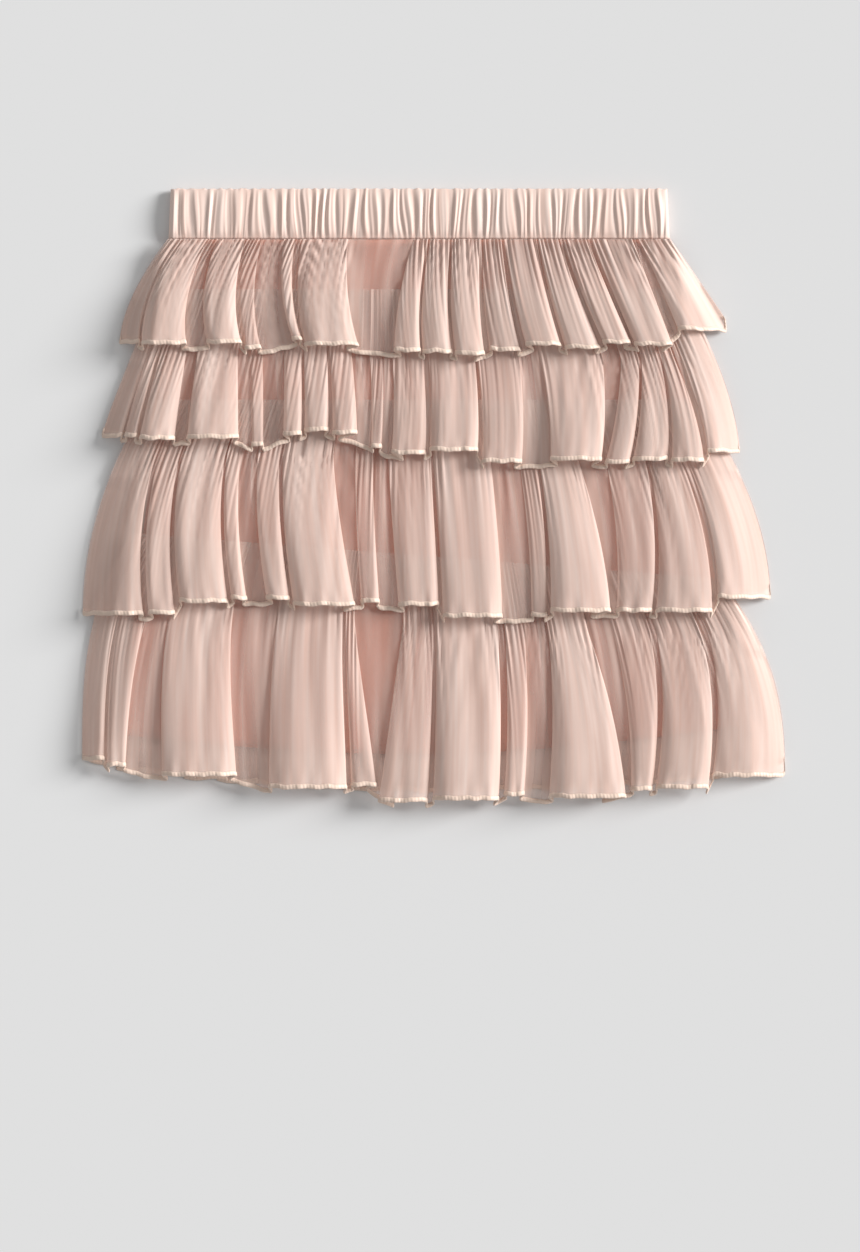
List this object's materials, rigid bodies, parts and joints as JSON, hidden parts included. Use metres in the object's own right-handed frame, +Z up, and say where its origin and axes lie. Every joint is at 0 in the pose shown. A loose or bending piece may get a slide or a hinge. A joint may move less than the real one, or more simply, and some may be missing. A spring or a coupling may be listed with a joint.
{
  "type": "flounced skirt",
  "caption": "Child's sheer chiffon skirt of gathered flounces on a lining, with an elastic waistband, laid flat on its back.",
  "frame": {"origin": "centre of the skirt's outline, on the surface it lies on", "axes": "+X across the skirt to the right as seen from above, +Y towards the waistband, +Z up off the surface"},
  "size_m": [0.338, 0.295, 0.0141],
  "materials": {
    "waistband_chiffon": "gathered pale pink chiffon casing, soft sheen",
    "lining_cloth": "plain salmon pink lining, matt",
    "flounce_chiffon": "sheer pale pink chiffon with a soft sheen and a narrow rolled hem"
  },
  "bodies": {
    "root": {"waistband_front": "waistband_chiffon", "waistband_back": "waistband_chiffon", "lining_front": "lining_cloth", "lining_back": "lining_cloth", "flounce_1_front": "flounce_chiffon", "flounce_1_back": "flounce_chiffon", "flounce_2_front": "flounce_chiffon", "flounce_2_back": "flounce_chiffon", "flounce_3_front": "flounce_chiffon", "flounce_3_back": "flounce_chiffon", "flounce_4_front": "flounce_chiffon", "flounce_4_back": "flounce_chiffon"}
  },
  "joints": []
}
